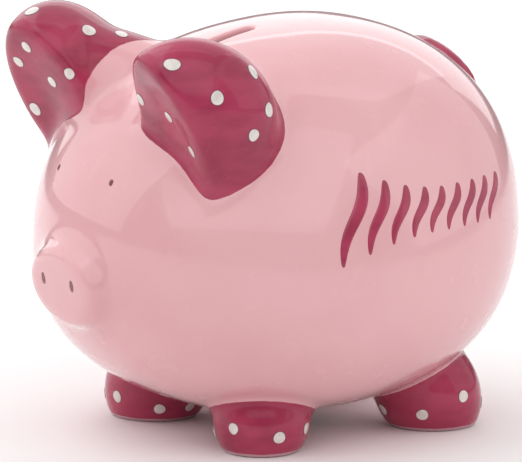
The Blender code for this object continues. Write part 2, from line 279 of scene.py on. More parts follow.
def tail_route():
    """Points and thicknesses along the curl, from its root to its tip, just above the barrel."""
    side = np.array((1.0, 0.0, 0.0))
    lean = math.radians(TAIL_UP)
    up = np.array((0.0, -math.sin(lean), math.cos(lean)))
    share = np.linspace(0.0, 1.0, TAIL_STEPS)
    angle = math.radians(TAIL_START) + share * TAIL_TURNS * 2.0 * math.pi
    radius = TAIL_OUTER_RADIUS + (TAIL_INNER_RADIUS - TAIL_OUTER_RADIUS) * share
    flat = np.outer(radius * np.cos(angle), side) + np.outer(radius * np.sin(angle), up)
    route = settled(np.array(TAIL_CENTRE) + flat, lambda points: barrel(points) - TAIL_LIFT)
    thickness = TAIL_THICK + (TAIL_THIN - TAIL_THICK) * share
    return route, thickness


def tail(points, route, thickness):
    distance = np.full(len(points), TAIL_REACH)
    near = np.linalg.norm(points - TAIL_CENTRE, axis=1) < TAIL_REACH
    close = points[near]
    best = distance[near]
    for start, end, start_size, end_size in zip(route, route[1:], thickness, thickness[1:]):
        span = end - start
        along = np.clip((close - start) @ span / (span @ span), 0.0, 1.0)
        gap = np.linalg.norm(close - start - np.outer(along, span), axis=1)
        best = np.minimum(best, gap - start_size - (end_size - start_size) * along)
    distance[near] = best
    return distance


def plain_skin(points):
    """The cast form without its tail."""
    form = soft_union(barrel(points), snout(points), SNOUT_FILLET)
    form = soft_union(form, ear(points), EAR_FILLET)
    form = soft_union(form, foot(points, FRONT_FOOT), FOOT_FILLET)
    return soft_union(form, foot(points, REAR_FOOT), FOOT_FILLET)


def skin(points):
    return soft_union(plain_skin(points), tail(points, *TAIL), TAIL_FILLET)


def coin_slot(points):
    straight = (SLOT_LENGTH - SLOT_WIDTH) / 2.0
    beyond = np.maximum(np.abs(points[:, 1] - SLOT_Y) - straight, 0.0)
    blade = np.hypot(points[:, 0], beyond) - SLOT_WIDTH / 2.0
    return np.maximum(blade, SLOT_BOTTOM - points[:, 2])


def stopper_well(points):
    """The stepped hole in the belly: a wide seat and a narrower neck."""
    reach = np.hypot(points[:, 0], points[:, 1] - HOLE_Y)
    seat = np.maximum(reach - SEAT_RADIUS, points[:, 2] - SEAT_HEIGHT)
    neck = np.maximum(reach - HOLE_RADIUS, points[:, 2] - WELL_TOP)
    return np.minimum(seat, neck)


def nostrils(points):
    drop = math.tan(math.radians(SNOUT_TILT)) * (NOSTRIL_HEIGHT - SNOUT_TIP[2])
    place = (NOSTRIL_APART / 2.0, SNOUT_TIP[1] - drop, NOSTRIL_HEIGHT)
    return ellipsoid((mirrored(points) - place) @ np.array(snout_turn()), NOSTRIL_RADII)


def eyes(points):
    return ellipsoid(mirrored(points) - EYE_PLACE, EYE_RADII)


def glazed(points):
    """The outer skin with its coin slot, stopper well, nostrils and eyes."""
    form = soft_cut(skin(points), -nostrils(points), NOSTRIL_RIM)
    form = soft_cut(form, -eyes(points), EYE_RIM)
    form = soft_cut(form, -coin_slot(points), SLOT_RIM)
    return soft_cut(form, -stopper_well(points), SEAT_RIM)


def cavity(points):
    """The hollow: the form drawn in by the wall, with a boss round the stopper's hole."""
    boss_side = np.hypot(points[:, 0], points[:, 1] - HOLE_Y) - BOSS_RADIUS
    boss = np.maximum(boss_side, points[:, 2] - BOSS_TOP)
    return soft_cut(plain_skin(points) + WALL, -boss, BOSS_FILLET)


def slope_of(field, points):
    slope = np.empty_like(points)
    for axis in range(3):
        nudge = np.zeros(3)
        nudge[axis] = SLOPE_STEP
        slope[:, axis] = (field(points + nudge) - field(points - nudge)) / (2.0 * SLOPE_STEP)
    return slope


def settled(points, field, rounds=6):
    """The points, moved along the field's slope until they lie on its surface."""
    for _ in range(rounds):
        slope = slope_of(field, points)
        steepness = np.maximum(np.sum(slope ** 2, axis=1), 0.05)
        points = points - slope * (field(points) / steepness)[:, None]
    return points


def normals_of(field, points):
    slope = slope_of(field, points)
    return slope / np.maximum(np.linalg.norm(slope, axis=1), 1e-9)[:, None]


TAIL = tail_route()


# ---------------------------------------------------------------- rough solids


def add_ball(mesh, centre, turn, radii):
    placing = Matrix.LocRotScale(Vector(centre), turn.to_4x4().to_quaternion(), Vector(radii))
    bmesh.ops.create_uvsphere(
        mesh, u_segments=BALL_SEGMENTS, v_segments=BALL_RINGS, radius=1.0, matrix=placing
    )


def cut_flat(mesh, point, normal):
    """Cuts away what lies beyond a plane and closes the cut."""
    everything = mesh.verts[:] + mesh.edges[:] + mesh.faces[:]
    bmesh.ops.bisect_plane(mesh, geom=everything, plane_co=point, plane_no=normal, clear_outer=True)
    rim = [edge for edge in mesh.edges if edge.is_boundary]
    bmesh.ops.holes_fill(mesh, edges=rim)


def add_to(target, part):
    piece = bpy.data.meshes.new("piece")
    part.to_mesh(piece)
    part.free()
    target.from_mesh(piece)
    bpy.data.meshes.remove(piece)


def to_side(part, side):
    bmesh.ops.scale(part, vec=(side, 1.0, 1.0), verts=part.verts)
    if side < 0:
        bmesh.ops.reverse_faces(part, faces=part.faces)
    return part


def rough_ear(side):
    part = bmesh.new()
    add_ball(part, EAR_CENTRE, ear_turn(), EAR_RADII)
    normal = Vector(EAR_OPENING_NORMAL).normalized()
    cut_flat(part, normal * EAR_OPENING_OFFSET, normal)
    add_ball(part, EAR_ROOT_CENTRE, Matrix.Identity(3), EAR_ROOT_RADII)
    return to_side(part, side)


def rough_foot(side, place):
    part = bmesh.new()
    add_ball(part, foot_centre(place), foot_turn(place), FOOT_RADII)
    cut_flat(part, Vector((0.0, 0.0, -FOOT_SOLE_TRIM)), Vector((0.0, 0.0, -1.0)))
    return to_side(part, side)


def rough_snout():
    part = bmesh.new()
    bmesh.ops.create_cone(
        part, cap_ends=True, segments=ROUND_SIDES, radius1=1.0, radius2=1.0, depth=1.0
    )
    lengthwise = Matrix.Rotation(math.radians(90.0), 4, "X")
    size = Matrix.Diagonal((SNOUT_RADII[0], SNOUT_LENGTH, SNOUT_RADII[1], 1.0))
    middle = Matrix.Translation((0.0, SNOUT_LENGTH / 2.0, 0.0))
    placing = Matrix.Translation(SNOUT_TIP) @ snout_turn().to_4x4() @ middle @ size @ lengthwise
    bmesh.ops.transform(part, matrix=placing, verts=part.verts)
    return part


def rough_tail():
    part = bmesh.new()
    for place, thickness in zip(*TAIL):
        spot = Matrix.Translation(place)
        bmesh.ops.create_icosphere(part, subdivisions=3, radius=thickness, matrix=spot)
    return part


def rough_pig(with_tail):
    mesh = bmesh.new()
    middle = (0.0, 0.0, BODY_MID_HEIGHT)
    add_ball(mesh, middle, Matrix.Identity(3), (BODY_HALF_WIDTH, BODY_HALF_LENGTH, BODY_HALF_HEIGHT))
    settle_mesh(mesh, barrel, rounds=1)
    add_to(mesh, rough_snout())
    if with_tail:
        add_to(mesh, rough_tail())
    for side in (1.0, -1.0):
        add_to(mesh, rough_ear(side))
        add_to(mesh, rough_foot(side, FRONT_FOOT))
        add_to(mesh, rough_foot(side, REAR_FOOT))
    return mesh


def vertex_places(mesh):
    return np.array([vertex.co for vertex in mesh.verts])


def set_places(mesh, places):
    for vertex, place in zip(mesh.verts, places):
        vertex.co = place


def settle_mesh(mesh, field, rounds=3):
    """Evens the vertices out and moves them onto the field, a few times over."""
    for _ in range(rounds):
        bmesh.ops.smooth_vert(
            mesh, verts=mesh.verts, factor=0.5, use_axis_x=True, use_axis_y=True, use_axis_z=True
        )
        set_places(mesh, settled(vertex_places(mesh), field, rounds=3))


def refine(mesh, region):
    """Halves the faces whose middles lie where region(points) is below nought."""
    mesh.faces.ensure_lookup_table()
    middles = np.array([face.calc_center_median() for face in mesh.faces])
    chosen = np.flatnonzero(region(middles) < 0.0)
    edges = {edge for index in chosen for edge in mesh.faces[index].edges}
    bmesh.ops.subdivide_edges(mesh, edges=list(edges), cuts=1, use_grid_fill=True)
    wide = [face for face in mesh.faces if len(face.verts) > 4]
    bmesh.ops.triangulate(mesh, faces=wide)


def new_object(name, mesh):
    """An object in the scene from a bmesh, which is used up."""
    data = bpy.data.meshes.new(name)
    mesh.to_mesh(data)
    mesh.free()
    item = bpy.data.objects.new(name, data)
    bpy.context.scene.collection.objects.link(item)
    return item


def apply_modifiers(item):
    """Replaces the object's mesh by what its modifiers make of it."""
    graph = bpy.context.evaluated_depsgraph_get()
    made = bpy.data.meshes.new_from_object(item.evaluated_get(graph))
    item.modifiers.clear()
    item.data = made


def remeshed(item, voxel):
    modifier = item.modifiers.new("join", "REMESH")
    modifier.mode = "VOXEL"
    modifier.voxel_size = voxel
    apply_modifiers(item)


def as_bmesh(item):
    """The object's mesh as a bmesh; the object is removed."""
    mesh = bmesh.new()
    mesh.from_mesh(item.data)
    bpy.data.objects.remove(item, do_unlink=True)
    return mesh


def subtract(item, cutter):
    modifier = item.modifiers.new("cut", "BOOLEAN")
    modifier.operation = "DIFFERENCE"
    modifier.solver = "MANIFOLD"
    modifier.object = cutter
    apply_modifiers(item)
    bpy.data.objects.remove(cutter, do_unlink=True)


def slot_blade():
    """A stadium-ended blade for the coin slot."""
    mesh = bmesh.new()
    straight = (SLOT_LENGTH - SLOT_WIDTH) / 2.0
    ring = []
    for step in range(BLADE_SIDES):
        angle = 2.0 * math.pi * (step + 0.5) / BLADE_SIDES
        end = straight if math.sin(angle) > 0 else -straight
        x = SLOT_WIDTH / 2.0 * math.cos(angle)
        y = SLOT_Y + end + SLOT_WIDTH / 2.0 * math.sin(angle)
        ring.append(mesh.verts.new((x, y, SLOT_BOTTOM)))
    bottom = mesh.faces.new(ring)
    raised = bmesh.ops.extrude_face_region(mesh, geom=[bottom])["geom"]
    top = [item for item in raised if isinstance(item, bmesh.types.BMVert)]
    bmesh.ops.translate(mesh, vec=(0.0, 0.0, BLADE_TOP - SLOT_BOTTOM), verts=top)
    bmesh.ops.recalc_face_normals(mesh, faces=mesh.faces)
    return new_object("slot_blade", mesh)


def round_plug(name, radius, top):
    mesh = bmesh.new()
    bmesh.ops.create_cone(
        mesh,
        cap_ends=True,
        segments=ROUND_SIDES,
        radius1=radius,
        radius2=radius,
        depth=top - PLUG_BOTTOM,
        matrix=Matrix.Translation((0.0, HOLE_Y, (top + PLUG_BOTTOM) / 2.0)),
    )
    return new_object(name, mesh)


def fine_region(points):
    """Near the slot's rim and the rim of the stopper's seat."""
    slot = np.abs(coin_slot(points)) - SLOT_FINE_REACH
    well = np.abs(stopper_well(points)) - WELL_FINE_REACH
    return np.minimum(slot, well)


def finest_region(points):
    """Near the eyes and nostrils."""
    return np.minimum(eyes(points), nostrils(points)) - FACE_FINE_REACH


def make_outer_skin():
    outer = new_object("outer", rough_pig(with_tail=True))
    remeshed(outer, SKIN_VOXEL)
    subtract(outer, slot_blade())
    subtract(outer, round_plug("seat", SEAT_RADIUS, SEAT_HEIGHT))
    subtract(outer, round_plug("neck", HOLE_RADIUS, WELL_TOP))
    remeshed(outer, SKIN_VOXEL)
    mesh = as_bmesh(outer)
    settle_mesh(mesh, glazed)
    refine(mesh, fine_region)
    refine(mesh, finest_region)
    refine(mesh, finest_region)
    settle_mesh(mesh, glazed, rounds=2)
    places = vertex_places(mesh)
    places[:, 2] = np.maximum(places[:, 2], 0.0)
    set_places(mesh, places)
    return new_object("bank_skin", mesh)


def make_hollow():
    hollow = new_object("hollow", rough_pig(with_tail=False))
    remeshed(hollow, CAVITY_VOXEL)
    mesh = as_bmesh(hollow)
    settle_mesh(mesh, cavity)
    return new_object("hollow", mesh)


def set_attribute(data, name, values):
    attribute = data.attributes.new(name, "FLOAT", "POINT")
    attribute.data.foreach_set("value", values.astype(np.float32))


def mesh_places(data):
    flat = np.empty(len(data.vertices) * 3)
    data.vertices.foreach_get("co", flat)
    return flat.reshape(-1, 3)


def paint_edge(points):
    """Signed distance to the edge of the rose paint, negative where it is painted."""
    feet = np.minimum(foot(points, FRONT_FOOT), foot(points, REAR_FOOT)) - FOOT_PAINT_EDGE
    curl = tail(points, *TAIL) - TAIL_PAINT_EDGE
    body = barrel(points)
    outer = EAR_PAINT_START - mirrored(points) @ EAR_PAINT_SIDE
    ears = soft_cut(ear(points) - EAR_PAINT_EDGE - body, outer, EAR_PAINT_CORNER)
    return np.minimum(ears, np.minimum(feet, curl) - body)


def smooth_shaded(data, normals=None):
    data.shade_smooth()
    if normals is not None:
        data.normals_split_custom_set_from_vertices([tuple(normal) for normal in normals])


def make_bank_skin():
    """The hollow pig, with what its glaze depends on stored at the vertices, and its normals."""
    skin_item = make_outer_skin()
    subtract(skin_item, make_hollow())
    data = skin_item.data
    points = mesh_places(data)
    normals = normals_of(glazed, points)
    on_skin = np.abs(glazed(points)) < ON_SKIN
    on_sole = points[:, 2] < ON_FLOOR
    normals[~on_skin] = 0.0
    normals[on_sole] = (0.0, 0.0, -1.0)
    set_attribute(data, "paint", paint_edge(points) * MILLIMETRES)
    set_attribute(data, "eye", eyes(points) * MILLIMETRES)
    # Distance to the nostrils, which the glaze uses to paint shade into their hollows.
    set_attribute(data, "nostril_shade", nostrils(points) * MILLIMETRES)
    set_attribute(data, "height", points[:, 2] * MILLIMETRES)
    set_attribute(data, "inside", np.where(cavity(points) < ON_HOLLOW, 1.0, 0.0))
    return skin_item, normals


# ---------------------------------------------------------------- dots and strokes

DOT_HEIGHT = 0.00035
DOT_SINK = 0.0003
DOT_MARGIN = 0.0010
DOT_ON_SKIN = 0.0003
DOT_SIDES = 28
DOT_FRONT = (
    (0.0, 1.0), (0.3, 0.98), (0.55, 0.90), (0.75, 0.72), (0.88, 0.48), (0.96, 0.22), (1.0, -0.10),
)
DOT_BACK = (0.9, 0.0)
DOT_PHASE = 1.7
DOT_UNEVEN = (0.03, 0.025)
RAY_ROUNDS = 40
EAR_RAY = 0.05
FOOT_RAY = 0.04

# Dots on the ears: latitude and longitude on the ear's ellipsoid, radius in millimetres, and how
# far the dot is stretched sideways where it isn't round.
LEFT_EAR_DOTS = (
    (21, -60, 3.2, 1.16), (29, -17, 3.0, 0.93), (74, -6, 3.0, 0.9), (52, 38, 3.1), (28, 26, 2.8),
    (-23, -143, 2.9), (-25, -59, 2.6), (-21, 10, 2.7),
    (24, 158, 3.0), (55, 130, 3.0), (66, -160, 3.0), (30, -170, 2.9), (20, 74, 2.9),
)
RIGHT_EAR_DOTS = (
    (21, -92, 3.3), (20, -149, 3.2, 1.1), (25, -171, 2.8), (-2, -84, 2.7), (-1, -45, 2.7),
    (-33, -117, 2.7), (-19, -146, 2.6), (-18, 11, 3.1),
    (30, -36, 3.1), (58, -70, 3.0), (40, 20, 3.0), (72, 60, 3.0), (44, 92, 2.9), (18, 62, 2.8),
)

# Dots on the feet: direction from the foot's middle in degrees (0 is +X), height and radius in mm.
LEFT_FRONT_DOTS = ((-66, 11.6, 2.5), (-16, 8.5, 2.7), (27, 9.8, 2.6), (75, 7.5, 2.5), (-112, 7.0, 2.5),
                   (160, 8.5, 2.4), (-158, 8.0, 2.4), (118, 9.0, 2.4))
RIGHT_FRONT_DOTS = ((-90, 9.8, 2.6), (-34, 6.2, 2.5), (6, 6.3, 2.4), (-132, 8.0, 2.6), (-172, 11.0, 2.6),
                    (148, 8.0, 2.5), (106, 9.5, 2.5), (54, 7.5, 2.4))
LEFT_REAR_DOTS = ((-97, 7.6, 2.5), (-40, 7.7, 2.6), (10, 14.3, 2.6), (56, 8.5, 2.6), (100, 12.0, 2.5),
                  (146, 8.0, 2.4), (-168, 8.5, 2.4))
RIGHT_REAR_DOTS = ((172, 13.0, 2.6), (126, 8.5, 2.6), (-140, 7.8, 2.6), (80, 11.5, 2.5), (34, 8.0, 2.4),
                   (-88, 8.0, 2.5), (-20, 8.5, 2.4))

STROKE_HEIGHT = 0.00018
STROKE_STEPS = 40
STROKE_COLUMNS = (-1.0, -0.92, -0.7, -0.35, 0.0, 0.35, 0.7, 0.92, 1.0)
STROKE_PROFILE = (-0.4, 0.45, 0.85, 0.97, 1.0, 0.97, 0.85, 0.45, -0.4)


def surface_along(starts, directions, field, reach):
    """Where rays that start inside a field leave it."""
    near = np.zeros(len(starts))
    far = np.full(len(starts), reach)
    for _ in range(RAY_ROUNDS):
        middle = (near + far) / 2.0
        inside = field(starts + directions * middle[:, None]) < 0.0
        near = np.where(inside, middle, near)
        far = np.where(inside, far, middle)
    return starts + directions * near[:, None]


def ear_places(dots, side):
    """Dot centres on the left (side 1) or right (side -1) ear."""
    turn = np.array(ear_turn())
    directions = []
    for latitude, longitude, *_ in dots:
        flat = math.cos(math.radians(latitude))
        local = np.array((
            flat * math.cos(math.radians(longitude)),
            flat * math.sin(math.radians(longitude)),
            math.sin(math.radians(latitude)),
        )) * EAR_RADII
        directions.append(turn @ local)
    directions = np.array(directions)
    directions /= np.linalg.norm(directions, axis=1)[:, None]
    places = surface_along(np.tile(EAR_CENTRE, (len(dots), 1)), directions, skin, EAR_RAY)
    return places * (side, 1.0, 1.0)


def foot_places(dots, place, side):
    centre = np.array(foot_centre(place)) * (side, 1.0, 1.0)
    starts = np.array([(centre[0], centre[1], height / MILLIMETRES) for _, height, _ in dots])
    angles = np.radians([angle for angle, _, _ in dots])
    directions = np.stack([np.cos(angles), np.sin(angles), np.zeros(len(dots))], axis=1)
    return surface_along(starts, directions, skin, FOOT_RAY)


def visible_dots(places, dots):
    """Keeps the dots that lie on painted skin and not inside the body."""
    clear = (np.abs(skin(places)) < DOT_ON_SKIN) & (paint_edge(places) < -DOT_MARGIN)
    kept = []
    for place, dot, is_clear in zip(places, dots, clear):
        if is_clear:
            stretch = dot[3] if len(dot) > 3 else 1.0
            kept.append((place, dot[2] / MILLIMETRES, stretch))
    return kept


def dot_spokes(centres, radii, stretches):
    """For each dot, the way from its middle to each point of its slightly uneven outline."""
    normals = normals_of(skin, centres)
    across = np.cross(normals, (0.0, 0.0, 1.0))
    across /= np.linalg.norm(across, axis=1)[:, None]
    up = np.cross(across, normals)
    angles = np.linspace(0.0, 2.0 * math.pi, DOT_SIDES, endpoint=False)[None, :]
    phase = DOT_PHASE * np.arange(len(centres))[:, None]
    uneven = 1.0 + DOT_UNEVEN[0] * np.sin(2.0 * angles + phase)
    uneven = uneven + DOT_UNEVEN[1] * np.sin(3.0 * angles - 2.0 * phase)
    sideways = radii[:, None] * uneven * np.cos(angles) * stretches[:, None]
    upwards = radii[:, None] * uneven * np.sin(angles) / stretches[:, None]
    return sideways[..., None] * across[:, None, :] + upwards[..., None] * up[:, None, :]


def raised_rings(centres, spokes, shares, heights):
    """Rings of points on the skin round each dot's middle, each raised by its height."""
    rings = []
    for share in shares:
        rings.append(centres[:, None, :] + spokes * share)
    base = settled(np.array(rings).reshape(-1, 3), skin, rounds=4)
    rise = np.repeat(heights, spokes.shape[0] * spokes.shape[1])
    places = base + normals_of(skin, base) * rise[:, None]
    return places.reshape(len(shares), *spokes.shape)


def add_dot(mesh, edge_layer, rings, shares):
    """A closed lens of enamel: a low dome on the skin, with its back just under the glaze."""
    previous = None
    for ring_places, share in zip(rings, shares):
        count = 1 if share == 0.0 else DOT_SIDES
        ring = [mesh.verts.new(place) for place in ring_places[:count]]
        for vertex in ring:
            vertex[edge_layer] = share
        join_rings(mesh, previous, ring)
        previous = ring


def join_rings(mesh, first, second):
    """Faces between two rings of vertices, either of which may be a single point."""
    if first is None:
        return
    count = max(len(first), len(second))
    for step in range(count):
        corners = [
            first[step % len(first)],
            second[step % len(second)],
            second[(step + 1) % len(second)],
            first[(step + 1) % len(first)],
        ]
        unique = list(dict.fromkeys(corners))
        mesh.faces.new(unique)


def make_dots(name, kept):
    centres = np.array([dot[0] for dot in kept])
    radii = np.array([dot[1] for dot in kept])
    stretches = np.array([dot[2] for dot in kept])
    shares = [share for share, _ in DOT_FRONT] + list(DOT_BACK)
    heights = [rise * DOT_HEIGHT for _, rise in DOT_FRONT] + [-DOT_SINK] * len(DOT_BACK)
    rings = raised_rings(centres, dot_spokes(centres, radii, stretches), shares, heights)
    mesh = bmesh.new()
    edge_layer = mesh.verts.layers.float.new("edge")
    for index in range(len(kept)):
        add_dot(mesh, edge_layer, rings[:, index], shares)
    bmesh.ops.recalc_face_normals(mesh, faces=mesh.faces)
    item = new_object(name, mesh)
    smooth_shaded(item.data)
    return item


def ear_dots():
    kept = visible_dots(ear_places(LEFT_EAR_DOTS, 1.0), LEFT_EAR_DOTS)
    return kept + visible_dots(ear_places(RIGHT_EAR_DOTS, -1.0), RIGHT_EAR_DOTS)


def foot_dots():
    kept = []
    for dots, place, side in (
        (LEFT_FRONT_DOTS, FRONT_FOOT, 1.0),
        (RIGHT_FRONT_DOTS, FRONT_FOOT, -1.0),
        (LEFT_REAR_DOTS, REAR_FOOT, 1.0),
        (RIGHT_REAR_DOTS, REAR_FOOT, -1.0),
    ):
        kept += visible_dots(foot_places(dots, place, side), dots)
    return kept


# Brush strokes on the left flank, in a row from its start to its end, both given as (y, z).
STROKE_ROW_START = (-0.0165, 0.0970)
STROKE_ROW_END = (0.0520, 0.0985)

# Each stroke: place along the row, length, half-width, lean from upright in degrees, and bend.
STROKES = (
    (0.00, 0.0380, 0.0026, 20.0, 0.0016),
    (0.15, 0.0300, 0.0023, 21.0, 0.0013),
    (0.29, 0.0240, 0.0021, 22.0, 0.0011),
    (0.42, 0.0205, 0.0020, 23.0, 0.0010),
    (0.54, 0.0190, 0.0019, 24.0, 0.0010),
    (0.66, 0.0190, 0.0019, 24.0, 0.0010),
    (0.78, 0.0190, 0.0019, 24.0, 0.0010),
    (0.89, 0.0190, 0.0019, 24.0, 0.0010),
    (1.00, 0.0190, 0.0019, 24.0, 0.0010),
)
STROKE_TAPER = 0.45
STROKE_FATTER_ABOVE = 0.25
STROKE_TIP_WIDTH = 0.04
STROKE_END_RISE = 6.0
STROKE_FLAT_END = 0.02
STROKE_END_SINK = 0.00008
FLANK_ROUNDS = 12
FLANK_LEAST_SLOPE = 0.2


def stroke_grid(middle, length, half_width, lean, bend):
    """Rows of (y, z) places across a tapered stroke, and how far each row is along it."""
    share = np.linspace(-1.0, 1.0, STROKE_STEPS)
    lean = math.radians(lean)
    direction = np.array((math.sin(lean), math.cos(lean)))
    sideways = np.array((math.cos(lean), -math.sin(lean)))
    line = middle + np.outer(share * length / 2.0, direction)
    line = line + np.outer(bend * np.sin(share * math.pi), sideways)
    taper = np.clip(1.0 - share ** 2, 0.0, 1.0) ** STROKE_TAPER
    width = half_width * taper * (1.0 + STROKE_FATTER_ABOVE * share)
    width = np.maximum(width, half_width * STROKE_TIP_WIDTH)
    grid = line[:, None, :] + sideways * width[:, None, None] * np.array(STROKE_COLUMNS)[None, :, None]
    return grid, share


def stroke_rise(share):
    """How far each place of a stroke stands off the glaze, lower towards its edges and ends."""
    ends = np.clip((1.0 - share ** 2) * STROKE_END_RISE, 0.0, 1.0)
    rise = (np.array(STROKE_PROFILE)[None, :] * ends[:, None]).reshape(-1) * STROKE_HEIGHT
    flat_end = ends.repeat(len(STROKE_COLUMNS)) < STROKE_FLAT_END
    return np.where(flat_end, -STROKE_END_SINK, rise)


def stroke_faces(mesh, top, back):
    """Closes a stroke: its front, its back and the four edges between them."""
    columns = len(STROKE_COLUMNS)
    for row in range(STROKE_STEPS - 1):
        for column in range(columns - 1):
            a = row * columns + column
            quad = (a, a + 1, a + columns + 1, a + columns)
            mesh.faces.new([top[index] for index in quad])
            mesh.faces.new([back[index] for index in reversed(quad)])
        for column in (0, columns - 1):
            a = row * columns + column
            mesh.faces.new((top[a], top[a + columns], back[a + columns], back[a]))
    for row in (0, STROKE_STEPS - 1):
        for column in range(columns - 1):
            a = row * columns + column
            mesh.faces.new((top[a], top[a + 1], back[a + 1], back[a]))


def add_stroke(mesh, *shape):
    """One tapered stroke of thick paint that follows the flank, closed behind."""
    grid, share = stroke_grid(*shape)
    start_x = np.full(grid.shape[:2] + (1,), BODY_HALF_WIDTH)
    base = on_flank(np.concatenate([start_x, grid], axis=2).reshape(-1, 3))
    normals = normals_of(skin, base)
    rise = stroke_rise(share)
    top = [mesh.verts.new(place) for place in base + normals * rise[:, None]]
    back = [mesh.verts.new(place) for place in base - normals * DOT_SINK]
    stroke_faces(mesh, top, back)


def on_flank(points):
    """Points moved along X onto the left flank."""
    points = points.copy()
    for _ in range(FLANK_ROUNDS):
        ahead = points + (SLOPE_STEP, 0.0, 0.0)
        slope = (skin(ahead) - skin(points)) / SLOPE_STEP
        points[:, 0] -= skin(points) / np.maximum(slope, FLANK_LEAST_SLOPE)
    return points


def make_strokes():
    mesh = bmesh.new()
    start = np.array(STROKE_ROW_START)
    run = np.array(STROKE_ROW_END) - start
    for along, *shape in STROKES:
        add_stroke(mesh, start + run * along, *shape)
    bmesh.ops.recalc_face_normals(mesh, faces=mesh.faces)
    item = new_object("flank_strokes", mesh)
    smooth_shaded(item.data)
    return item


# ---------------------------------------------------------------- stopper


STOPPER_EDGE = 0.0006
STOPPER_CHAMFER = 0.3
SHARP_ANGLE = 50.0

# The raised grip ring under the flange: radius, and height off the flange.
GRIP_RING = (
    (0.0140, 0.0), (0.0137, 0.0003), (0.0132, 0.0010), (0.0124, 0.0013),
    (0.0070, 0.0013), (0.0064, 0.0010), (0.0059, 0.0003), (0.0056, 0.0),
)


def stopper_profile():
    """Radius and height from the middle of the bead's top to the middle of the flange's face."""
    top = SEAT_HEIGHT - STOPPER_GAP
    bottom = top - FLANGE_THICKNESS
    neck = HOLE_RADIUS - STOPPER_GAP
    bead = BOSS_TOP + STOPPER_GAP
    edge = STOPPER_EDGE
    chamfer = edge * STOPPER_CHAMFER
    grip = [(radius, bottom + rise) for radius, rise in GRIP_RING]
    return [
        (0.0, bead + BEAD_HEIGHT),
        (BEAD_RADIUS - BEAD_TAPER - edge, bead + BEAD_HEIGHT),
        (BEAD_RADIUS - BEAD_TAPER, bead + BEAD_HEIGHT - chamfer),
        (BEAD_RADIUS - BEAD_TAPER / 4.0, bead + BEAD_HEIGHT / 2.0),
        (BEAD_RADIUS, bead + edge),
        (BEAD_RADIUS - chamfer, bead + chamfer),
        (BEAD_RADIUS - edge, bead),
        (neck, bead),
        (neck, top),
        (FLANGE_RADIUS - chamfer, top),
        (FLANGE_RADIUS, top - edge / 2.0),
        (FLANGE_RADIUS, bottom + edge),
        (FLANGE_RADIUS - chamfer, bottom + chamfer),
        (FLANGE_RADIUS - edge, bottom),
        *grip,
        (0.0, bottom),
    ]


def turned_ring(mesh, radius, height):
    """A ring of vertices round the hole's axis, or a single one on it."""
    if radius == 0.0:
        return [mesh.verts.new((0.0, HOLE_Y, height))]
    turns = [2.0 * math.pi * step / ROUND_SIDES for step in range(ROUND_SIDES)]
    return [
        mesh.verts.new((radius * math.cos(turn), HOLE_Y + radius * math.sin(turn), height))
        for turn in turns
    ]


def make_stopper():
    """A turned rubber stopper with a rounded flange, a grip ring and a bead that holds it in."""
    mesh = bmesh.new()
    previous = None
    for radius, height in stopper_profile():
        ring = turned_ring(mesh, radius, height)
        join_rings(mesh, previous, ring)
        previous = ring
    bmesh.ops.recalc_face_normals(mesh, faces=mesh.faces)
    item = new_object("stopper", mesh)
    smooth_shaded(item.data)
    item.data.set_sharp_from_angle(angle=math.radians(SHARP_ANGLE))
    return item


# ---------------------------------------------------------------- materials


def linear(colour):
    """A colour from 0 to 255 as linear light."""
    parts = []
    for part in colour:
        share = part / 255.0
        parts.append(share / 12.92 if share <= 0.04045 else ((share + 0.055) / 1.055) ** 2.4)
    return (*parts, 1.0)


PINK = (240, 186, 190)
PINK_DEEP = (232, 172, 177)
ROSE = (180, 62, 93)
ROSE_DEEP = (155, 46, 75)
ROSE_THIN = (202, 90, 115)
BARE_CLAY = (205, 160, 168)
# The eyes' real paint; the same dark colour is also mixed into the nostrils as painted shade.
EYE_PAINT_AND_NOSTRIL_SHADE = (122, 60, 66)
WHITE = (238, 232, 226)
WHITE_WORN = (222, 214, 208)
DOT_EDGE = (112, 60, 72)
RUBBER = (206, 204, 196)
RUBBER_DARK = (186, 184, 176)
FLOOR = (250, 250, 250)
FLOOR_SHADE = (246, 246, 246)

# Noise patterns: scale, detail and roughness.
STREAK_NOISE = (70.0, 3.0, 0.5)
STREAK_STRETCH = (1.0, 0.5, 1.5)
THIN_PAINT_NOISE = (38.0, 2.0, 0.5)
CLOUD_NOISE = (14.0, 3.0, 0.5)
WANDER_NOISE = (220.0, 3.0, 0.6)
SKIN_GLOSS_NOISE = (90.0, 3.0, 0.5)
SKIN_RIPPLE_NOISE = (22.0, 1.0, 0.4)
STROKE_GLOSS_NOISE = (120.0, 3.0, 0.5)
STROKE_RIPPLE_NOISE = (180.0, 3.0, 0.5)
CREAM_NOISE = (260.0, 3.0, 0.5)
DOT_GLOSS_NOISE = (300.0, 2.0, 0.5)
DOT_RIPPLE_NOISE = (420.0, 2.0, 0.5)
RUBBER_MOTTLE_NOISE = (180.0, 4.0, 0.6)
RUBBER_ROUGH_NOISE = (700.0, 3.0, 0.6)
RUBBER_GRAIN_NOISE = (2200.0, 3.0, 0.6)
FLOOR_NOISE = (3.0, 3.0, 0.5)

# Bumps: strength and distance.
SKIN_RIPPLE = (0.12, 0.0010)
STROKE_RIPPLE = (0.08, 0.0003)
DOT_RIPPLE = (0.08, 0.0002)
RUBBER_GRAIN = (0.15, 0.0001)

# Edges of the painted areas in millimetres: where a colour begins and where it is full.
PAINT_WANDER = 0.22
PAINT_SOFTNESS = 0.10
BARE_RIM = (1.45, 1.75)
EYE_EDGE = (-0.05, 0.22)
# The nostrils' edge and share are painted shade: a dark tone laid into the dimples where their hollows
# fall into shadow.
NOSTRIL_SHADE_EDGE = (0.0, 0.3)
NOSTRIL_SHADE_SHARE = 0.8
DOT_RIM = (0.85, 0.92)

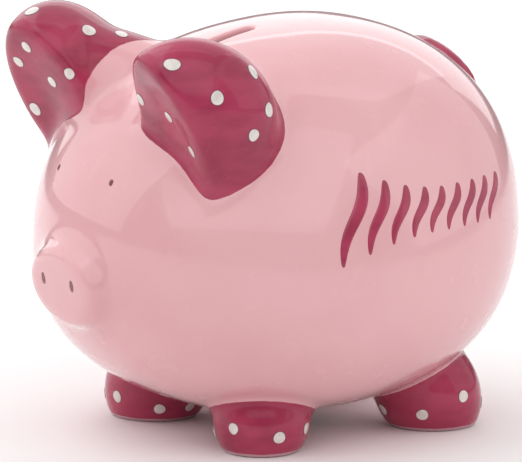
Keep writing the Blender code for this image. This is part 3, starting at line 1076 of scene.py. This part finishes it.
# Glaze, clay and rubber.
GLAZE_IOR = 1.5
COAT_ROUGHNESS = 0.03
UNDERGLAZE_SPECULAR = 0.15
COAT_ON_ROSE = 0.45
BARE_ROUGHNESS = 0.55
RUBBER_IOR = 1.45
FLOOR_ROUGHNESS = 0.9
FLOOR_SPECULAR = 0.1


class Nodes:
    """A short way to write a material's node tree."""

    def __init__(self, name):
        self.material = bpy.data.materials.new(name)
        self.material.use_nodes = True
        self.tree = self.material.node_tree
        self.shader = self.tree.nodes["Principled BSDF"]
        place = self.add("ShaderNodeTexCoord")
        self.place = place.outputs["Object"]

    def add(self, kind, **settings):
        node = self.tree.nodes.new(kind)
        for key, value in settings.items():
            setattr(node, key, value)
        return node

    def link(self, source, target):
        self.tree.links.new(source, target)

    def noise(self, scale, detail=3.0, roughness=0.5, stretch=None):
        node = self.add("ShaderNodeTexNoise")
        node.inputs["Scale"].default_value = scale
        node.inputs["Detail"].default_value = detail
        node.inputs["Roughness"].default_value = roughness
        source = self.place
        if stretch is not None:
            mapping = self.add("ShaderNodeMapping")
            mapping.inputs["Scale"].default_value = stretch
            self.link(self.place, mapping.inputs["Vector"])
            source = mapping.outputs["Vector"]
        self.link(source, node.inputs["Vector"])
        return node.outputs["Fac"]

    def attribute(self, name):
        return self.add("ShaderNodeAttribute", attribute_name=name).outputs["Fac"]

    def spread(self, value, low, high, to_low=0.0, to_high=1.0, smooth=True):
        node = self.add("ShaderNodeMapRange")
        node.interpolation_type = "SMOOTHSTEP" if smooth else "LINEAR"
        node.inputs["From Min"].default_value = low
        node.inputs["From Max"].default_value = high
        node.inputs["To Min"].default_value = to_low
        node.inputs["To Max"].default_value = to_high
        self.link(value, node.inputs["Value"])
        return node.outputs["Result"]

    def maths(self, operation, first, second):
        node = self.add("ShaderNodeMath", operation=operation)
        for socket, value in zip(node.inputs, (first, second)):
            if isinstance(value, (int, float)):
                socket.default_value = value
            else:
                self.link(value, socket)
        return node.outputs[0]

    def mix(self, share, first, second):
        node = self.add("ShaderNodeMix", data_type="RGBA")
        self.link(share, node.inputs["Factor"])
        for key, value in (("A", first), ("B", second)):
            socket = [s for s in node.inputs if s.name == key and s.type == "RGBA"][0]
            if isinstance(value, tuple):
                socket.default_value = linear(value)
            else:
                self.link(value, socket)
        return [s for s in node.outputs if s.type == "RGBA"][0]

    def bump(self, height, strength, distance):
        node = self.add("ShaderNodeBump")
        node.inputs["Strength"].default_value = strength
        node.inputs["Distance"].default_value = distance
        self.link(height, node.inputs["Height"])
        return node.outputs["Normal"]

    def set(self, **values):
        for key, value in values.items():
            socket = self.shader.inputs[key.replace("_", " ")]
            if isinstance(value, bpy.types.NodeSocket):
                self.link(value, socket)
            else:
                socket.default_value = value


def glaze_coat(nodes):
    """The clear glaze over every painted colour."""
    nodes.shader.inputs["IOR"].default_value = GLAZE_IOR
    nodes.shader.inputs["Coat Weight"].default_value = 1.0
    nodes.shader.inputs["Coat Roughness"].default_value = COAT_ROUGHNESS
    nodes.shader.inputs["Coat IOR"].default_value = GLAZE_IOR
    nodes.shader.inputs["Specular IOR Level"].default_value = UNDERGLAZE_SPECULAR


def rose_colour(nodes):
    """Brushed rose paint: faint streaks, and thinner paint here and there."""
    streaks = nodes.spread(nodes.noise(*STREAK_NOISE, stretch=STREAK_STRETCH), 0.30, 0.75)
    thin = nodes.spread(nodes.noise(*THIN_PAINT_NOISE), 0.50, 0.85, 0.0, 0.30)
    deep = nodes.mix(streaks, ROSE, ROSE_DEEP)
    return nodes.mix(thin, deep, ROSE_THIN)


def pink_glaze():
    """The whole pig: pink, rose where it is painted, bare clay at the foot rims and inside, and painted
    shade in the nostrils.
    """
    nodes = Nodes("pink_glaze")
    clouds = nodes.spread(nodes.noise(*CLOUD_NOISE), 0.25, 0.8)
    pink = nodes.mix(clouds, PINK, PINK_DEEP)
    wander = nodes.spread(nodes.noise(*WANDER_NOISE), 0.2, 0.8, -PAINT_WANDER, PAINT_WANDER, smooth=False)
    edge = nodes.maths("ADD", nodes.attribute("paint"), wander)
    painted = nodes.spread(edge, -PAINT_SOFTNESS, PAINT_SOFTNESS, 1.0, 0.0)
    colour = nodes.mix(painted, pink, rose_colour(nodes))
    rim_edge = nodes.maths("ADD", nodes.attribute("height"), wander)
    bare = nodes.spread(rim_edge, *BARE_RIM, 1.0, 0.0)
    colour = nodes.mix(bare, colour, BARE_CLAY)
    eye = nodes.spread(nodes.attribute("eye"), *EYE_EDGE, 1.0, 0.0)
    colour = nodes.mix(eye, colour, EYE_PAINT_AND_NOSTRIL_SHADE)
    # Painted shade: the nostril dimples are darkened with the eye colour, standing in for the shadow in
    # the hollows.
    nostril_shade = nodes.spread(nodes.attribute("nostril_shade"), *NOSTRIL_SHADE_EDGE, NOSTRIL_SHADE_SHARE, 0.0)
    colour = nodes.mix(nostril_shade, colour, EYE_PAINT_AND_NOSTRIL_SHADE)
    colour = nodes.mix(nodes.attribute("inside"), colour, BARE_CLAY)
    gloss = nodes.spread(nodes.noise(*SKIN_GLOSS_NOISE), 0.3, 0.7, 0.20, 0.28)
    rough = nodes.maths("MAXIMUM", nodes.maths("MULTIPLY", bare, BARE_ROUGHNESS), gloss)
    coat = nodes.spread(painted, 0.0, 1.0, 1.0, COAT_ON_ROSE)
    ripple = nodes.bump(nodes.noise(*SKIN_RIPPLE_NOISE), *SKIN_RIPPLE)
    glaze_coat(nodes)
    nodes.set(Base_Color=colour, Roughness=rough, Normal=ripple, Coat_Normal=ripple, Coat_Weight=coat)
    return nodes.material


def rose_glaze():
    nodes = Nodes("rose_glaze")
    gloss = nodes.spread(nodes.noise(*STROKE_GLOSS_NOISE), 0.3, 0.7, 0.20, 0.30)
    ripple = nodes.bump(nodes.noise(*STROKE_RIPPLE_NOISE), *STROKE_RIPPLE)
    nodes.set(Base_Color=rose_colour(nodes), Roughness=gloss, Normal=ripple)
    glaze_coat(nodes)
    return nodes.material


def white_enamel():
    """The dots: worn white with a thin dark edge."""
    nodes = Nodes("white_enamel")
    cream = nodes.mix(nodes.spread(nodes.noise(*CREAM_NOISE), 0.35, 0.7), WHITE, WHITE_WORN)
    rim = nodes.spread(nodes.attribute("edge"), *DOT_RIM)
    colour = nodes.mix(rim, cream, DOT_EDGE)
    gloss = nodes.spread(nodes.noise(*DOT_GLOSS_NOISE), 0.3, 0.7, 0.16, 0.28)
    ripple = nodes.bump(nodes.noise(*DOT_RIPPLE_NOISE), *DOT_RIPPLE)
    nodes.set(Base_Color=colour, Roughness=gloss, Normal=ripple)
    glaze_coat(nodes)
    return nodes.material


def stopper_rubber():
    nodes = Nodes("stopper_rubber")
    mottle = nodes.spread(nodes.noise(*RUBBER_MOTTLE_NOISE), 0.35, 0.7)
    colour = nodes.mix(mottle, RUBBER, RUBBER_DARK)
    rough = nodes.spread(nodes.noise(*RUBBER_ROUGH_NOISE), 0.3, 0.7, 0.48, 0.66)
    grain = nodes.bump(nodes.noise(*RUBBER_GRAIN_NOISE), *RUBBER_GRAIN)
    nodes.set(Base_Color=colour, Roughness=rough, Normal=grain)
    nodes.shader.inputs["IOR"].default_value = RUBBER_IOR
    return nodes.material


def floor_paper():
    nodes = Nodes("floor_paper")
    cloud = nodes.spread(nodes.noise(*FLOOR_NOISE), 0.35, 0.7)
    nodes.set(Base_Color=nodes.mix(cloud, FLOOR, FLOOR_SHADE))
    nodes.shader.inputs["Roughness"].default_value = FLOOR_ROUGHNESS
    nodes.shader.inputs["Specular IOR Level"].default_value = FLOOR_SPECULAR
    return nodes.material


# ---------------------------------------------------------------- placing in the frame


def placing_in_frame(item):
    """The scale and move that take the pig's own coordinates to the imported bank_body."""
    low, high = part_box("bank_body")
    places = mesh_places(item.data)
    own_low = places.min(axis=0)
    own_high = places.max(axis=0)
    scale = (high.y - low.y) / (own_high[1] - own_low[1])
    move = Vector((
        (low.x + high.x) / 2.0 - scale * (own_low[0] + own_high[0]) / 2.0,
        low.y - scale * own_low[1],
        low.z - scale * own_low[2],
    ))
    return Matrix.Translation(move) @ Matrix.Scale(scale, 4)


def finish_piece(item, placing, material, slot_name, *nodes):
    item.data.transform(placing)
    item.data.materials.clear()
    item.data.materials.append(material)
    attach(item, "root")
    if nodes:
        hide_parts(*nodes)


# ---------------------------------------------------------------- camera, floor and light

CAMERA_AZIMUTH = 55.3466
CAMERA_ELEVATION = 11.842
CAMERA_DISTANCE = 4.49379
CAMERA_SIDE = -0.00318
CAMERA_HEIGHT = 0.07693
CAMERA_SENSOR = 36.0
CAMERA_LENS = 787.92
CAMERA_NEAR = 0.1
CAMERA_FAR = 50.0
FLOOR_HALF_WIDTH = 6.0
FLOOR_SQUARES = 8


def heading(azimuth, elevation):
    """The way from the pig to a camera or a light, for angles in radians."""
    return Vector((
        math.sin(azimuth) * math.cos(elevation),
        -math.cos(azimuth) * math.cos(elevation),
        math.sin(elevation),
    ))


def make_camera(placing):
    azimuth = math.radians(CAMERA_AZIMUTH)
    elevation = math.radians(CAMERA_ELEVATION)
    right = Vector((math.cos(azimuth), math.sin(azimuth), 0.0))
    aim = Vector((0.0, 0.0, CAMERA_HEIGHT)) + right * CAMERA_SIDE
    data = bpy.data.cameras.new("camera")
    data.sensor_width = CAMERA_SENSOR
    data.lens = CAMERA_LENS
    data.clip_start = CAMERA_NEAR
    data.clip_end = CAMERA_FAR
    camera = bpy.data.objects.new("camera", data)
    camera.location = placing @ (aim + heading(azimuth, elevation) * CAMERA_DISTANCE)
    camera.rotation_euler = (math.radians(90.0) - elevation, 0.0, azimuth)
    bpy.context.scene.collection.objects.link(camera)
    bpy.context.scene.camera = camera


def make_floor():
    mesh = bmesh.new()
    bmesh.ops.create_grid(mesh, x_segments=FLOOR_SQUARES, y_segments=FLOOR_SQUARES, size=FLOOR_HALF_WIDTH)
    floor = new_object("floor", mesh)
    floor.data.materials.append(floor_paper())


# Soft boxes: azimuth and elevation in degrees, distance, width, height and radiance.
LIT_POINT = (0.0, 0.0, 0.08)
SOFT_BOXES = {
    "key": (55.0, 44.0, 5.2, 8.0, 6.0, 0.72),
    "key_above": (55.0, 60.0, 1.7, 3.4, 3.0, 0.33),
    "flank": (110.0, 35.0, 1.7, 2.6, 2.6, 0.12),
    "face": (-45.0, 38.0, 1.7, 2.6, 2.4, 1.05),
    "rump": (150.0, 26.0, 1.7, 2.4, 1.6, 0.72),
    "top": (235.0, 60.0, 1.5, 2.0, 1.5, 0.86),
    "backdrop": (235.0, 22.0, 1.7, 2.6, 0.9, 1.31),
}
SKY_RADIANCE = 0.12


def soft_box(name, azimuth, elevation, distance, width, height, radiance):
    back = heading(math.radians(azimuth), math.radians(elevation))
    data = bpy.data.lights.new(name, "AREA")
    data.shape = "RECTANGLE"
    data.size = width
    data.size_y = height
    data.energy = radiance * math.pi * width * height
    item = bpy.data.objects.new(name, data)
    item.location = Vector(LIT_POINT) + back * distance
    item.rotation_euler = (-back).to_track_quat("-Z", "Y").to_euler()
    bpy.context.scene.collection.objects.link(item)


def make_light():
    for name, settings in SOFT_BOXES.items():
        soft_box(name, *settings)
    world = bpy.data.worlds.new("studio")
    world.use_nodes = True
    background = world.node_tree.nodes["Background"]
    background.inputs["Color"].default_value = (1.0, 1.0, 1.0, 1.0)
    background.inputs["Strength"].default_value = SKY_RADIANCE
    bpy.context.scene.world = world
    bpy.context.scene.view_settings.view_transform = "Standard"


# ---------------------------------------------------------------- the whole bank

bank, bank_normals = make_bank_skin()
placing = placing_in_frame(bank)
finish_piece(bank, placing, pink_glaze(), "pink_glaze", "bank_body")
smooth_shaded(bank.data, bank_normals)

enamel = white_enamel()
finish_piece(make_dots("ear_dots", ear_dots()), placing, enamel, "white_enamel")
finish_piece(make_dots("foot_dots", foot_dots()), placing, enamel, "white_enamel")
finish_piece(make_strokes(), placing, rose_glaze(), "rose_glaze")
finish_piece(make_stopper(), placing, stopper_rubber(), "stopper_rubber", "rubber_stopper")

make_camera(placing)
make_floor()
make_light()
